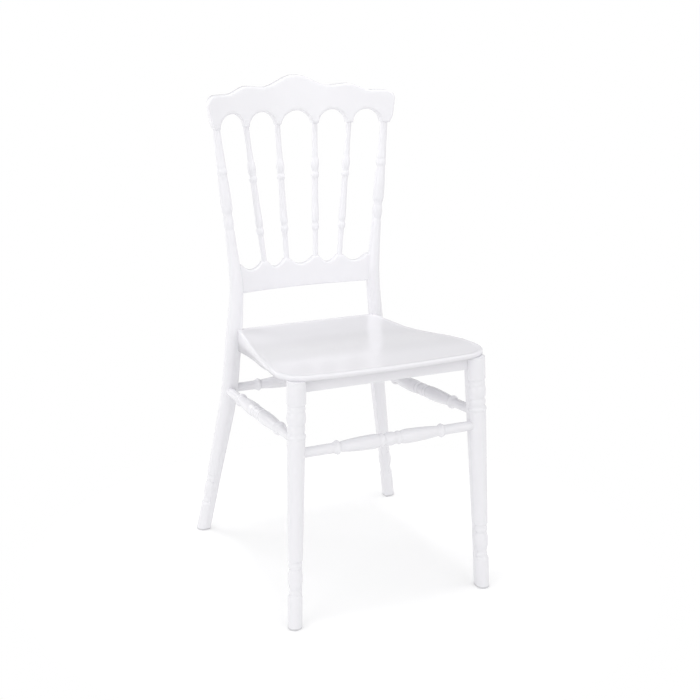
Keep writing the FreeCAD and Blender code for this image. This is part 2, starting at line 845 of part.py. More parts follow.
def rail_screw_lines():
    """Head face and tip of the four screws through the keeper ribs into the two seat rails."""
    apron_back = apron_front_y + apron_thickness
    pairs = []
    for x in (-rail_screw_x, rail_screw_x):
        z = panel_underside_front - rail_screw_drop
        start = V(x, apron_back + keeper_thickness, z)
        pairs.append((start, start - V(0, rail_screw_length, 0)))
        z = panel_underside_rear - rail_screw_drop
        start = V(x, rail_front_y - keeper_thickness, z)
        pairs.append((start, start + V(0, rail_screw_length, 0)))
    return pairs


def rail_screws():
    return [screw(a, b, rail_screw_radius, screw_head_radius, screw_head_height)
            for a, b in rail_screw_lines()]


def post_bolt(side):
    """Socket head bolt from the pocket of the rear rail out into the post."""
    end = rail_end_x()
    y, z = bolt_y(), bolt_height
    head_face = V(side * (end - rail_end_wall), y, z)
    way = V(side, 0, 0)
    tip = V(side * (end + insert_length), y, z)
    head_back = head_face - way * bolt_head_height
    body = cylinder(bolt_radius, head_face, tip).fuse(
        cylinder(bolt_head_radius, head_back, head_face))
    key = cylinder(bolt_key_radius, head_back, head_back + way * bolt_key_depth)
    return body.cut(key)


def post_insert(side):
    end = rail_end_x() + insert_depth
    y, z = bolt_y(), bolt_height
    start, stop = V(side * end, y, z), V(side * (end + insert_length), y, z)
    body = cylinder(insert_radius, start, stop)
    past = V(side * over_cut, 0, 0)
    return body.cut(cylinder(bolt_radius + screw_play, start - past, stop + past))


def post_insert_hole(side):
    end = rail_end_x()
    y, z = bolt_y(), bolt_height
    return cylinder(insert_radius + screw_play, V(side * (end - over_cut), y, z),
                    V(side * (end + insert_depth + insert_length + socket_end_gap), y, z))


def crest_screw_axis(side):
    """Point on the middle surface of the crest in line with the post, and the way forward."""
    z = crest_bottom_height + crest_screw_rise
    point = along(waist(side), post_top(side), z)
    outward = point.x / back_radius
    rearward = V(outward, math.sqrt(1 - outward ** 2), 0)
    centre_y = back_y(0, z) - back_radius
    on_face = V(0, centre_y, z) + rearward * (back_radius + crest_thickness / 2)
    return on_face, rearward * -1


def crest_screw(side):
    face, way = crest_screw_axis(side)
    start = face + way * (crest_plug_length + crest_screw_head_height)
    return screw(start, start + way * crest_screw_length, crest_screw_radius,
                 crest_screw_head_radius, crest_screw_head_height)


def crest_plug(side):
    face, way = crest_screw_axis(side)
    return cylinder(crest_plug_radius, face, face + way * crest_plug_length)


def crest_screw_holes(side):
    face, way = crest_screw_axis(side)
    seat = face + way * (crest_plug_length + crest_screw_head_height)
    bore = cylinder(crest_plug_radius + screw_play, face - way * over_cut, seat)
    end = seat + way * (crest_screw_length + socket_end_gap)
    return bore, cylinder(crest_screw_radius + screw_play, face, end)


# Front legs and rear posts with their sockets
def front_leg(side):
    low, high = front_foot(side), front_top(side)
    start = lock_screw_line(side)[0]
    cuts = [glide_cut(low, high), seat_peg(side, fit), lock_screw_hole(side, lock_screw_radius),
            cylinder(screw_head_radius + fit, start, start + V(0, head_radius, 0)),
            apron_tenon_bar(fit)]
    ends = front_stretcher_ends()
    cuts.append(stretcher_socket(ends[side > 0], ends[side < 0]))
    front, rear = side_stretcher_ends(side)
    cuts.append(stretcher_socket(front, rear))
    return front_leg_body(side).cut(cuts)


def rear_post(side):
    low, high = rear_foot(side), knee(side)
    ends = rear_stretcher_ends()
    front, rear = side_stretcher_ends(side)
    cuts = [glide_cut(low, high), stretcher_socket(ends[side > 0], ends[side < 0]),
            stretcher_socket(rear, front), post_insert_hole(side),
            back_rail_tenon_bar(fit)]
    body = rear_post_body(side).cut(cuts)
    tenon = cylinder(post_tenon_radius,
                     along(waist(side), post_top(side), crest_bottom_height - over_cut),
                     along(waist(side), post_top(side), crest_bottom_height + post_tenon_length))
    return body.fuse(tenon).cut(list(crest_screw_holes(side)))


# Back
def back_band(thickness, low, high):
    """Leaning, curved slab of the back between two heights."""
    rise = V(0, (high - low) * back_lean, high - low)
    centre = V(0, back_y(0, low) - back_radius, low)
    slabs = []
    for radius in (back_radius + thickness / 2, back_radius - thickness / 2):
        ring = Part.Wire([Part.makeCircle(radius, centre, UP)])
        slabs.append(Part.Face(ring).extrude(rise))
    return slabs[0].cut(slabs[1])


def elevation_prism(edges):
    """Prism over an outline drawn in front view, that only takes in the back of the chair."""
    return prism(edges, V(0, reach, 0))


def crest_outline():
    low = crest_bottom_height
    post_x = post_top_spread / 2
    inner = post_x - ear_foot_half_width
    outer = post_x + ear_foot_half_width
    edges = []
    for s in (1, -1):
        hump = V(s * crest_hump_flat, 0, crest_hump_height)
        dip = V(s * crest_dip_x, 0, crest_dip_height)
        shoulder = V(s * crest_shoulder_x, 0, crest_shoulder_height)
        step = V(s * crest_end_x, 0, crest_end_height)
        r = crest_corner_radius
        corner = V(s * (crest_half_width - r), 0, crest_end_height)
        turn = corner + V(s * r * math.sqrt(0.5), 0, r * (math.sqrt(0.5) - 1))
        side = V(s * crest_half_width, 0, crest_end_height - r)
        ear = V(s * (outer + ear_slope_width), 0, low + ear_slope_height)
        foot = V(s * outer, 0, low)
        edges += [s_curve(hump, dip), s_curve(dip, shoulder), s_curve(shoulder, step),
                  line(step, corner), arc(corner, turn, side), line(side, ear), line(ear, foot),
                  line(foot, V(s * inner, 0, low))]
        near = spindle_top_x[1]
        ends = [(inner, near + cusp_half_width), (near - cusp_half_width,
                                                  spindle_top_x[0] + cusp_half_width)]
        for far_x, near_x in ends:
            top = V(s * (far_x + near_x) / 2, 0, low + arch_height)
            edges.append(arc(V(s * far_x, 0, low), top, V(s * near_x, 0, low)))
        for x in spindle_top_x:
            edges.append(line(V(s * (x - cusp_half_width), 0, low),
                              V(s * (x + cusp_half_width), 0, low)))
    edges.append(line(V(-crest_hump_flat, 0, crest_hump_height),
                      V(crest_hump_flat, 0, crest_hump_height)))
    end = spindle_top_x[0] - cusp_half_width
    edges.append(arc(V(-end, 0, low), V(0, 0, low + arch_height), V(end, 0, low)))
    return Part.sortEdges(edges)[0]


def crest_rail():
    band = back_band(crest_thickness, crest_bottom_height - over_cut,
                     crest_hump_height + over_cut)
    body = band.common(elevation_prism(crest_outline()))
    cuts = [spindle_socket(i, s, True) for i in (0, 1) for s in (-1, 1)]
    for s in (-1, 1):
        low = along(waist(s), post_top(s), crest_bottom_height - over_cut)
        top = along(waist(s), post_top(s), crest_bottom_height + post_tenon_length + socket_end_gap)
        cuts.append(cylinder(post_tenon_radius + fit, low, top))
        cuts += list(crest_screw_holes(s))
    return body.cut(cuts)


def back_rail_end_x():
    """Where the middle of the rear post stands at the mid height of the lower back rail."""
    return abs(post_axis(1, (rail_top_height + rail_bottom_height) / 2).x)


def scallop(start, end):
    """Dip in the top of the lower back rail between two widths."""
    curve = Part.BezierCurve()
    pole = V((start + end) / 2, 0, rail_top_height - 2 * scallop_depth)
    curve.setPoles([V(start, 0, rail_top_height), pole, V(end, 0, rail_top_height)])
    return curve.toShape()


def lower_rail_outline():
    top = rail_top_height
    half = back_rail_end_x()
    ledge = half - post_waist_radius - 1
    stations = [spindle_bottom_x[0], spindle_bottom_x[1], ledge + cusp_half_width]
    middle = spindle_bottom_x[0] - cusp_half_width
    edges = [scallop(-middle, middle)]
    for s in (1, -1):
        for near, far in zip(stations, stations[1:]):
            edges.append(scallop(s * (near + cusp_half_width), s * (far - cusp_half_width)))
        for x in spindle_bottom_x:
            edges.append(line(V(s * (x - cusp_half_width), 0, top),
                              V(s * (x + cusp_half_width), 0, top)))
        edges.append(line(V(s * ledge, 0, top), V(s * half, 0, top)))
        edges.append(line(V(s * half, 0, top), V(s * half, 0, rail_bottom_height + rail_bottom_rise)))
    end = rail_bottom_height + rail_bottom_rise
    edges.append(arc(V(-half, 0, end), V(0, 0, rail_bottom_height), V(half, 0, end)))
    return Part.sortEdges(edges)[0]


def back_rail_tenon_bar(grow):
    """Curved bar whose ends are the tenons of the lower back rail, or the mortise cutter."""
    half = back_rail_end_x() - post_waist_radius + back_rail_tenon_length + grow
    middle = (rail_top_height - scallop_depth + rail_bottom_height + rail_bottom_rise) / 2
    low = middle - back_rail_tenon_height / 2 - grow
    high = middle + back_rail_tenon_height / 2 + grow
    band = back_band(back_rail_tenon_thickness + 2 * grow, low, high)
    return band.common(box(-half, half, 0, reach, 0, 2 * reach))


def lower_back_rail():
    band = back_band(back_rail_thickness, rail_bottom_height - over_cut,
                     rail_top_height + over_cut)
    body = band.common(elevation_prism(lower_rail_outline()))
    body = body.cut([post_plain(s) for s in (-1, 1)])
    body = max(body.Solids, key=lambda solid: solid.Volume)
    body = body.fuse(back_rail_tenon_bar(0.0))
    body = body.cut([spindle_socket(i, s, False) for i in (0, 1) for s in (-1, 1)])
    return body.removeSplitter()


def spindle_ends(index, side):
    low_x, high_x = side * spindle_bottom_x[index], side * spindle_top_x[index]
    return (V(low_x, back_y(low_x, rail_top_height), rail_top_height),
            V(high_x, back_y(high_x, crest_bottom_height), crest_bottom_height))


def spindle_socket(index, side, at_top):
    low, high = spindle_ends(index, side)
    length = spindle_tenon_length + socket_end_gap
    if at_top:
        return cylinder(spindle_tenon_radius + fit, along(low, high, high.z - over_cut),
                        along(low, high, high.z + length))
    return cylinder(spindle_tenon_radius + fit, along(low, high, low.z - length),
                    along(low, high, low.z + over_cut))


def spindle(index, side):
    low, high = spindle_ends(index, side)
    body = spindle_turning(high.z - low.z).solid(low, high)
    ends = [cylinder(spindle_neck_radius, along(low, high, low.z - over_cut), low),
            cylinder(spindle_neck_radius, high, along(low, high, high.z + over_cut))]
    body = body.fuse(ends).cut([below(low.z), above(high.z)])
    tenons = [cylinder(spindle_tenon_radius, along(low, high, low.z - spindle_tenon_length), low),
              cylinder(spindle_tenon_radius, high,
                       along(low, high, high.z + spindle_tenon_length))]
    body = body.fuse(tenons)
    return body.removeSplitter()


def save(name, shapes):
    """Write one node: a single solid, or a group of separate solids."""
    solids = [solid for shape in shapes for solid in shape.Solids]
    result = solids[0] if len(solids) == 1 else Part.makeCompound(solids)
    result.exportStep("parts/" + name + ".step")
    print(name, len(solids), "solid(s), volume", round(sum(s.Volume for s in solids) / 1000, 2),
          "cm3", "valid" if result.isValid() else "NOT VALID")


def main():
    os.makedirs("parts", exist_ok=True)
    sides = (("left", -1), ("right", 1))
    front_blanks = [front_leg_body(s) for s in (-1, 1)]
    post_blanks = [post_plain(s) for s in (-1, 1)]
    save("seat_panel", [seat_panel()])
    save("front_apron", [front_apron(front_blanks)])
    save("rear_seat_rail", [rear_seat_rail()])
    for name, s in sides:
        i = int(s > 0)
        save("front_leg_" + name, [front_leg(s)])
        save("rear_post_" + name, [rear_post(s)])
        save("foot_glide_front_" + name,
             [glide(front_foot(s), front_top(s), -s, 1, taper_foot_radius)])
        save("foot_glide_rear_" + name,
             [glide(rear_foot(s), knee(s), -s, -1, taper_foot_radius)])
        front, rear = side_stretcher_ends(s)
        save(name + "_stretcher",
             [stretcher(front, rear, side_bead_offset, front_blanks[i], post_blanks[i])])
    save("front_stretcher", [stretcher(*front_stretcher_ends(), front_bead_offset, *front_blanks)])
    save("rear_stretcher", [stretcher(*rear_stretcher_ends(), rear_bead_offset, *post_blanks)])
    save("crest_rail", [crest_rail()])
    save("lower_back_rail", [lower_back_rail()])
    places = ((1, -1), (0, -1), (0, 1), (1, 1))
    for number, (index, side) in enumerate(places, start=1):
        save("spindle_%d" % number, [spindle(index, side)])
    save("leg_lock_screws", [lock_screw(s) for s in (-1, 1)])
    save("seat_rail_screws", rail_screws())
    save("rear_post_bolts", [post_bolt(s) for s in (-1, 1)])
    save("rear_post_inserts", [post_insert(s) for s in (-1, 1)])
    save("crest_screws", [crest_screw(s) for s in (-1, 1)])
    save("crest_screw_plugs", [crest_plug(s) for s in (-1, 1)])


main()
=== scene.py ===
# %% [markdown]
# # A white banquet chair with turned legs and a spindle back
#
# The real chair is moulded in glossy white resin after an old turned wooden pattern. A packed
# CAD model gives every piece its place and size, and this lesson dresses it: each visible piece
# is made again as a smooth mesh where its CAD solid stands, and then gets its finish, its light
# and a camera.
#
# Everything is worked out in millimetres and turned into metres when a piece is finished, so the
# numbers below are the ones that a ruler would show on the chair.

from math import atan2, cos, pi, radians, sin, sqrt

import bmesh
import bpy
from mathutils import Matrix, Vector


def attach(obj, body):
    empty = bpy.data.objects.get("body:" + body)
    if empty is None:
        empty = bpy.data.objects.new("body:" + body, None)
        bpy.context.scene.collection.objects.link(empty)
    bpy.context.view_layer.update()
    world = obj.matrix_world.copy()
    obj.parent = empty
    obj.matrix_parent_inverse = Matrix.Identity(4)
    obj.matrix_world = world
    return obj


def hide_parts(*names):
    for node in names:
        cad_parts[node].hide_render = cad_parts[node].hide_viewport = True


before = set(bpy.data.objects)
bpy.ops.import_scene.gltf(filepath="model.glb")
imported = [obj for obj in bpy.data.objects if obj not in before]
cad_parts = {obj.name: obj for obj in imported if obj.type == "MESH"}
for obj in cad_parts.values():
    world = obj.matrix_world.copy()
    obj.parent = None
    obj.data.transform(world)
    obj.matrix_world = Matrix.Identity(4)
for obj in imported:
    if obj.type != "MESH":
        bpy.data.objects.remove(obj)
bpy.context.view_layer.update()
SIDES = (("left", -1), ("right", 1))

# %% [markdown]
# ## The stance of the chair
#
# A chair is drawn from a few lines: where each leg meets the floor and the seat, and how the back
# leans. They could be typed into every piece, but then a change would have to be made many times.
# Here they are written once, and each piece asks for the line that it stands on. The front legs
# are straight. A rear post is straight up to its knee and above its waist, and bends in between,
# so its axis is a clamped cubic curve through the seat.


# %% A curve through three points
def clamped(knots, values, first_slope, last_slope):
    """Cubic curve through three points with given slopes at its ends, as a function."""
    h0, h1 = knots[1] - knots[0], knots[2] - knots[1]
    rise0, rise1 = (values[1] - values[0]) / h0, (values[2] - values[1]) / h1
    middle = (3 * (rise0 / h0 + rise1 / h1) - first_slope / h0 - last_slope / h1)
    middle /= 2 * (1 / h0 + 1 / h1)
    slopes = (first_slope, middle, last_slope)

    def value(t):
        i = 0 if t < knots[1] else 1
        h = knots[i + 1] - knots[i]
        u = min(max((t - knots[i]) / h, 0), 1)
        return (values[i] * (1 + 2 * u) * (1 - u) ** 2 + values[i + 1] * u * u * (3 - 2 * u)
                + h * u * (1 - u) * (slopes[i] * (1 - u) - slopes[i + 1] * u))

    return value


print("a hump from 0 to 1 and back is halfway up at", clamped((0, 1, 2), (0, 1, 0), 0, 0)(0.5))

# %% Heights and the back
LIP, RAIL, CREST = 447.5, 563.0, 823.0
BACK_RADIUS, BACK_PLACE, BACK_LEAN = 435.0, 197.7, 0.0704


def back_y(x, z):
    """Middle surface of the back: a curve round an upright axis that leans rearward."""
    return BACK_PLACE + (z - RAIL) * BACK_LEAN - (BACK_RADIUS - sqrt(BACK_RADIUS ** 2 - x * x))


print("the back leans", back_y(0, CREST) - back_y(0, RAIL), "mm from its lower rail to its crest")

# %% Lines of the legs
LEG_FOOT, LEG_HEAD = (189.0, -228.5, 0.0), (171.5, -206.5, LIP)
FOOT, KNEE, BEND = (214.0, 228.5, 0.0), (169.5, 190.5, 262.0), (153.9, 173.1, 429.0)
WAIST_X, WAIST_Z, TOP_X = 146.9, 545.0, 172.9
WAIST = (WAIST_X, back_y(WAIST_X, WAIST_Z), WAIST_Z)
TOP = (TOP_X, back_y(TOP_X, CREST), CREST)


def line_at(a, b, z):
    """Point at a height on the straight line through two points."""
    t = (z - a[2]) / (b[2] - a[2])
    return Vector(a).lerp(Vector(b), t)


def slope(a, b, i):
    """How far the line through two points moves along x (0) or y (1) for each mm of height."""
    return (b[i] - a[i]) / (b[2] - a[2])


bend_x, bend_y = (clamped((KNEE[2], BEND[2], WAIST[2]), (KNEE[i], BEND[i], WAIST[i]),
                          slope(FOOT, KNEE, i), slope(WAIST, TOP, i)) for i in (0, 1))


def post_axis(side, z):
    """Point of a rear post's axis at a height."""
    if z < KNEE[2]:
        p = line_at(FOOT, KNEE, z)
    elif z > WAIST[2]:
        p = line_at(WAIST, TOP, z)
    else:
        p = Vector((bend_x(z), bend_y(z), z))
    return Vector((side * p.x, p.y, z))


def leg_axis(side, z):
    """Point of a front leg's axis at a height."""
    p = line_at(LEG_FOOT, LEG_HEAD, z)
    return Vector((side * p.x, p.y, z))


print("post at the lip:", post_axis(1, LIP), "at the crest:", post_axis(1, CREST))

# %% [markdown]
# ## Shader maths as plain expressions
#
# A material is a graph of nodes. Wiring each Math node by hand hides the idea of a finish, so a
# small class wraps a socket and turns `a * b + c` or `1 - a` into nodes.


# %% A socket in a sum
class Value:
    """A socket that takes part in sums and products."""

    def __init__(self, finish, socket):
        self.finish, self.socket = finish, socket

    def math(self, operation, a, b):
        node = self.finish.node("ShaderNodeMath", {"operation": operation}, {0: a, 1: b})
        return self.finish.value(node)

    def __add__(self, other):
        return self.math("ADD", self, other)

    def __sub__(self, other):
        return self.math("SUBTRACT", self, other)

    def __rsub__(self, other):
        return self.math("SUBTRACT", other, self)

    def __mul__(self, other):
        return self.math("MULTIPLY", self, other)

    __radd__, __rmul__ = __add__, __mul__


print("a socket can be added, subtracted and multiplied")

# %% [markdown]
# ## What every finish needs
#
# Any other node comes from one method: its settings come first and its sockets afterwards, each a
# number or a link. Round it stand the few steps that the finishes below share, so that each of
# them reads like its description. They could be node groups, but plain nodes are easier to read
# back.


# %% A finish
class Finish:
    """The graph of nodes of a material, or of another owner such as a world."""

    def __init__(self, name, owner=None):
        self.owner = owner or bpy.data.materials.new(name)
        self.owner.use_nodes = True
        self.tree = self.owner.node_tree
        self.tree.nodes.clear()

    def node(self, kind, settings=None, sockets=None):
        """Adds a node: its settings first, then a number, colour or link for each socket."""
        node = self.tree.nodes.new(kind)
        for key, setting in (settings or {}).items():
            setattr(node, key, setting)
        for key, given in (sockets or {}).items():
            given = given.socket if isinstance(given, Value) else given
            if isinstance(given, bpy.types.NodeSocket):
                self.tree.links.new(given, node.inputs[key])
            else:
                node.inputs[key].default_value = given
        return node

    def value(self, node, output=0):
        """One of a node's outputs, ready for sums and products."""
        return Value(self, node.outputs[output])

    def place(self):
        """Object coordinates, in metres."""
        return self.node("ShaderNodeTexCoord").outputs["Object"]

    def noise(self, scale, detail):
        """Cloudy values between 0 and 1 in the piece's own space."""
        return self.value(self.node("ShaderNodeTexNoise", {"noise_dimensions": "3D"},
                                    {"Vector": self.place(), "Scale": scale, "Detail": detail}))

    def span(self, value, low, high, to_low, to_high):
        """The value's stretch from low to high laid over another stretch, and held there."""
        node = self.node("ShaderNodeMapRange", {"clamp": True},
                         {"Value": value, "From Min": low, "From Max": high,
                          "To Min": to_low, "To Max": to_high})
        return self.value(node)

    def blend(self, amount, low, high):
        """Colour between two colours, the first of which may be another blend."""
        low = low if isinstance(low, bpy.types.NodeSocket) else (*low, 1.0)
        node = self.node("ShaderNodeMix", {"data_type": "RGBA"},
                         {"Factor": amount, "A": low, "B": (*high, 1.0)})
        return next(out for out in node.outputs if out.type == "RGBA" and out.enabled)

    def crossed(self, amount, low, high):
        """Shader between two shaders."""
        return self.node("ShaderNodeMixShader", {}, {0: amount, 1: low.outputs[0],
                                                     2: high.outputs[0]})

    def closed(self, shader, kind="ShaderNodeOutputMaterial"):
        """Links the last shader to the output, which finishes the graph."""
        self.tree.links.new(shader.outputs[0], self.node(kind).inputs["Surface"])
        return self.owner

    def surface(self, sockets, bump, strength, distance):
        """A Principled surface whose height is a fine bump."""
        relief = self.node("ShaderNodeBump", {}, {"Strength": strength, "Distance": distance,
                                                  "Height": bump})
        sockets = {**sockets, "Normal": relief.outputs["Normal"]}
        return self.closed(self.node("ShaderNodeBsdfPrincipled", {}, sockets))


print("a finish can be made with", [name for name in vars(Finish) if name[0] != "_"])


# %% [markdown]
# ## White resin
#
# Moulded resin is not one flat white. Its skin is glossy with a very fine orange peel, the gloss
# drifts slowly where the melt cooled at different speeds, and handling leaves it slightly duller
# in places. A painted picture could hold that, but a picture has to be wrapped round every piece
# and blurs close up. Noise in the object's own coordinates needs no wrapping and stays sharp. The
# seat gets a finish of its own that is glossier and a little darker. The darker colour is painted
# shade for a seat that faces up and takes less light.


# %% The resin finishes
def resin_finish(name, white, cool, gloss, peel):
    """Two near whites that mix in clouds, gloss that drifts, and a fine orange peel."""
    finish = Finish(name)
    drift = finish.noise(7.0, 3.0)
    cloud = finish.noise(38.0, 4.0)
    skin = finish.noise(420.0, 2.0)
    rough = finish.span(drift * 0.6 + cloud * 0.4, 0.2, 0.8, gloss - 0.04, gloss + 0.02)
    return finish.surface({"Base Color": finish.blend(drift * 0.5 + cloud * 0.5, white, cool),
                           "Roughness": rough, "IOR": 1.5},
                          bump=skin * 0.7 + cloud * 0.6, strength=peel, distance=0.0002)


resin = resin_finish("white resin", (0.875, 0.868, 0.892), (0.855, 0.850, 0.880),
                     gloss=0.24, peel=0.10)
# The seat's slightly darker base colour is painted shade, because the seat is the same resin and
# only takes less light
seat_resin_painted_shade = resin_finish("seat resin with painted shade", (0.86, 0.852, 0.880), (0.845, 0.838, 0.870),
                          gloss=0.22, peel=0.12)
print("finishes:", resin.name, "and", seat_resin_painted_shade.name)

# %% [markdown]
# ## Small fittings
#
# The glides are plain nylon, the screws bright zinc plate and the threaded inserts brass. They
# hardly show, but a close look at the underside should still find real surfaces, so each has a
# fine grain of its own and keeps its CAD shape.


# %% The fittings' finishes
def fitting_finish(name, light, dark, metallic, rough, grain, strength):
    """Two shades that mix in patches, with a grain that also roughens the gloss."""
    finish = Finish(name)
    speck = finish.noise(grain, 3.0)
    patch = finish.noise(grain / 9, 2.0)
    return finish.surface({"Base Color": finish.blend(patch, light, dark), "Metallic": metallic,
                           "Roughness": finish.span(speck, 0.3, 0.7, rough - 0.08, rough + 0.08)},
                          bump=speck, strength=strength, distance=0.0001)


nylon = fitting_finish("glide nylon", (0.70, 0.70, 0.71), (0.62, 0.62, 0.64), 0.0, 0.5, 900, 0.3)
zinc = fitting_finish("zinc plate", (0.70, 0.71, 0.74), (0.58, 0.60, 0.62), 1.0, 0.32, 1500, 0.2)
brass = fitting_finish("insert brass", (0.80, 0.62, 0.32), (0.68, 0.50, 0.22), 1.0, 0.3, 1500, 0.2)
looks = {node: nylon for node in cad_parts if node.startswith("foot_glide")}
looks |= dict.fromkeys(("leg_lock_screws", "seat_rail_screws", "rear_post_bolts", "crest_screws"),
                       zinc)
looks |= {"rear_post_inserts": brass, "crest_screw_plugs": resin, "rear_seat_rail": resin}
for node, look in looks.items():
    for material_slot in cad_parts[node].material_slots:
        material_slot.material = look
print("finished where they are:", ", ".join(looks))

# %% [markdown]
# ## From a bmesh to a finished piece
#
# Every piece ends the same way: points that meet are welded, its normals are made to point
# outwards, it is scaled to metres, shaded smooth except across real edges, and the CAD nodes that
# it stands for are hidden. This could be repeated for each piece, but one function can't forget a
# step.


# %% Finish a piece
MM, WELD = 0.001, 0.003


def finished(name, bm, nodes=(), material=resin, sharp=32):
    """Makes a bmesh in millimetres the object that stands for the named CAD nodes."""
    bmesh.ops.remove_doubles(bm, verts=bm.verts, dist=WELD)
    bmesh.ops.recalc_face_normals(bm, faces=bm.faces)
    bmesh.ops.scale(bm, vec=(MM, MM, MM), verts=bm.verts)
    for face in bm.faces:
        face.smooth = True
    mesh = bpy.data.meshes.new(name)
    bm.to_mesh(mesh)
    bm.free()
    mesh.set_sharp_from_angle(angle=radians(sharp))
    mesh.materials.append(material)
    piece = bpy.data.objects.new(name, mesh)
    bpy.context.scene.collection.objects.link(piece)
    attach(piece, "root")
    if nodes:
        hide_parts(*nodes)
    mesh.calc_loop_triangles()
    print(name, len(mesh.loop_triangles), "triangles")
    return piece


def merged(target, other):
    """Adds one bmesh to another, as pieces that were moulded together."""
    part = bpy.data.meshes.new("part")
    other.to_mesh(part)
    other.free()
    target.from_mesh(part)
    bpy.data.meshes.remove(part)
    return target


print("pieces are welded at", WELD, "mm and scaled by", MM)

# %% [markdown]
# ## Turned pieces
#
# The legs, spindles and stretchers copy work from a lathe. Each could be stacked from cylinders
# and spheres, but a turner thinks in one outline: so far up, out to this radius, bulging this
# much. A mould never gives a knife edge, so the outline is softened over about a millimetre.

# %% Outline
POINT_PITCH, STRAIGHT, LONGEST = 0.5, 0.012, 7.0


def outline(start_radius, steps):
    """Points (radius, height) of a turned outline. A step is (length, radius, bulge)."""
    points, radius, height = [(start_radius, 0.0)], start_radius, 0.0
    for length, to_radius, bulge in steps:
        count = max(int(length / POINT_PITCH), 2)
        for i in range(1, count + 1):
            t = i / count
            points.append((radius + (to_radius - radius) * t + 4 * t * (1 - t) * bulge,
                           height + length * t))
        radius, height = to_radius, height + length
    return points


def soften(points, width=2):
    """Averages each radius with its neighbours, then drops the points on straight runs."""
    radii = [r for r, _ in points]
    soft = []
    for i, (_, height) in enumerate(points):
        near = radii[max(i - width, 0):i + width + 1]
        soft.append((sum(near) / len(near), height))
    kept = [soft[0]]
    for i in range(1, len(soft) - 1):
        (r0, h0), (r1, h1), (r2, h2) = kept[-1], soft[i], soft[i + 1]
        straight = r0 + (r2 - r0) * (h1 - h0) / (h2 - h0)
        if abs(r1 - straight) > STRAIGHT or h1 - h0 > LONGEST:
            kept.append((r1, h1))
    return kept + [soft[-1]]


print("a plain peg has", len(soften(outline(5.0, [(40, 5.0, 0)]))), "points in its outline")

# %% [markdown]
# ## Spin, stand and trim
#
# An outline becomes a solid when it is spun once round its axis. Rings could be bridged one by
# one, but a spin keeps every bead and closes on itself. The solid then stands between two points,
# and because legs lean and the floor doesn't, its ends are cut level.


# %% Spin
def spun(points, turns=56):
    """The solid that an outline leaves when it is spun round the Z axis."""
    bm = bmesh.new()
    ring = [bm.verts.new((r, 0, h)) for r, h in points]
    ring = [bm.verts.new((0, 0, points[0][1]))] + ring + [bm.verts.new((0, 0, points[-1][1]))]
    edges = [bm.edges.new(pair) for pair in zip(ring, ring[1:])]
    bmesh.ops.spin(bm, geom=ring + edges, cent=(0, 0, 0), axis=(0, 0, 1), dvec=(0, 0, 0),
                   angle=2 * pi, steps=turns, use_merge=True)
    bmesh.ops.remove_doubles(bm, verts=bm.verts, dist=WELD / 3)
    return bm


def stood(bm, start, end, height):
    """Lays a spun solid from one point to another, its height fitted between them."""
    axis = end - start
    stretch = Matrix.Diagonal((1, 1, axis.length / height, 1))
    turn = Vector((0, 0, 1)).rotation_difference(axis).to_matrix().to_4x4()
    bmesh.ops.transform(bm, matrix=Matrix.Translation(start) @ turn @ stretch, verts=bm.verts)
    return bm


def trimmed(bm, z, up):
    """Cuts a piece level at a height, keeps what is above or below, and closes the cut."""
    bmesh.ops.bisect_plane(bm, geom=bm.verts[:] + bm.edges[:] + bm.faces[:], plane_co=(0, 0, z),
                           plane_no=(0, 0, -1 if up else 1), clear_outer=True)
    open_edges = [edge for edge in bm.edges if edge.is_boundary]
    bmesh.ops.holes_fill(bm, edges=open_edges, sides=0)
    return bm


peg = spun(soften(outline(5.0, [(40, 5.0, 0)])))
print("a plain peg has", len(peg.faces), "faces and", peg.calc_volume(), "cubic mm")
peg.free()

# %% [markdown]
# ## The plain corner of a leg
#
# The legs aren't round all the way: the quarter that faces the middle of the chair stays square,
# so that rails can meet a flat. A cube could be stretched along each leg, but the legs taper and
# the posts bend. So squares that grow with the leg are set on its axis and bridged, and the outer
# edge is rounded by a bevel.


# %% Squared corner
def squared_corner(stations, inward, depthward, rounding=3.0):
    """Quarter column through (point on the axis, side of the square) stations."""
    bm = bmesh.new()
    corners = [(0, 0), (inward, 0), (inward, depthward), (0, depthward)]
    rings = [[bm.verts.new(axis + Vector((x * size, y * size, 0))) for x, y in corners]
             for axis, size in stations]
    loops = [[bm.edges.new(pair) for pair in zip(ring, ring[1:] + ring[:1])] for ring in rings]
    for low, high in zip(loops, loops[1:]):
        bmesh.ops.bridge_loops(bm, edges=low + high)
    bmesh.ops.holes_fill(bm, edges=loops[0] + loops[-1], sides=len(corners))
    bmesh.ops.recalc_face_normals(bm, faces=bm.faces)
    outer = [bm.edges.get((low[2], high[2])) for low, high in zip(rings, rings[1:])]
    bmesh.ops.bevel(bm, geom=outer, offset=rounding, segments=5, profile=0.5, material=-1,
                    affect="EDGES")
    return bm


def corner_stations(axis, heights, sizes, side):
    """The points on an axis at some heights, each with the side of the square there."""
    return [(axis(side, z), size) for z, size in zip(heights, sizes)]


print("the corner of a front leg starts at", leg_axis(1, 0))

# %% [markdown]
# ## Front legs
#
# From the floor up a front leg has a plain foot, a neck with a thin ring, an egg, a collar, a
# long taper, and under the seat a bead, a ring, a barrel, a ring and a plain drum. The turning
# starts below the floor and is trimmed level, because the leg leans and its foot stands flat.

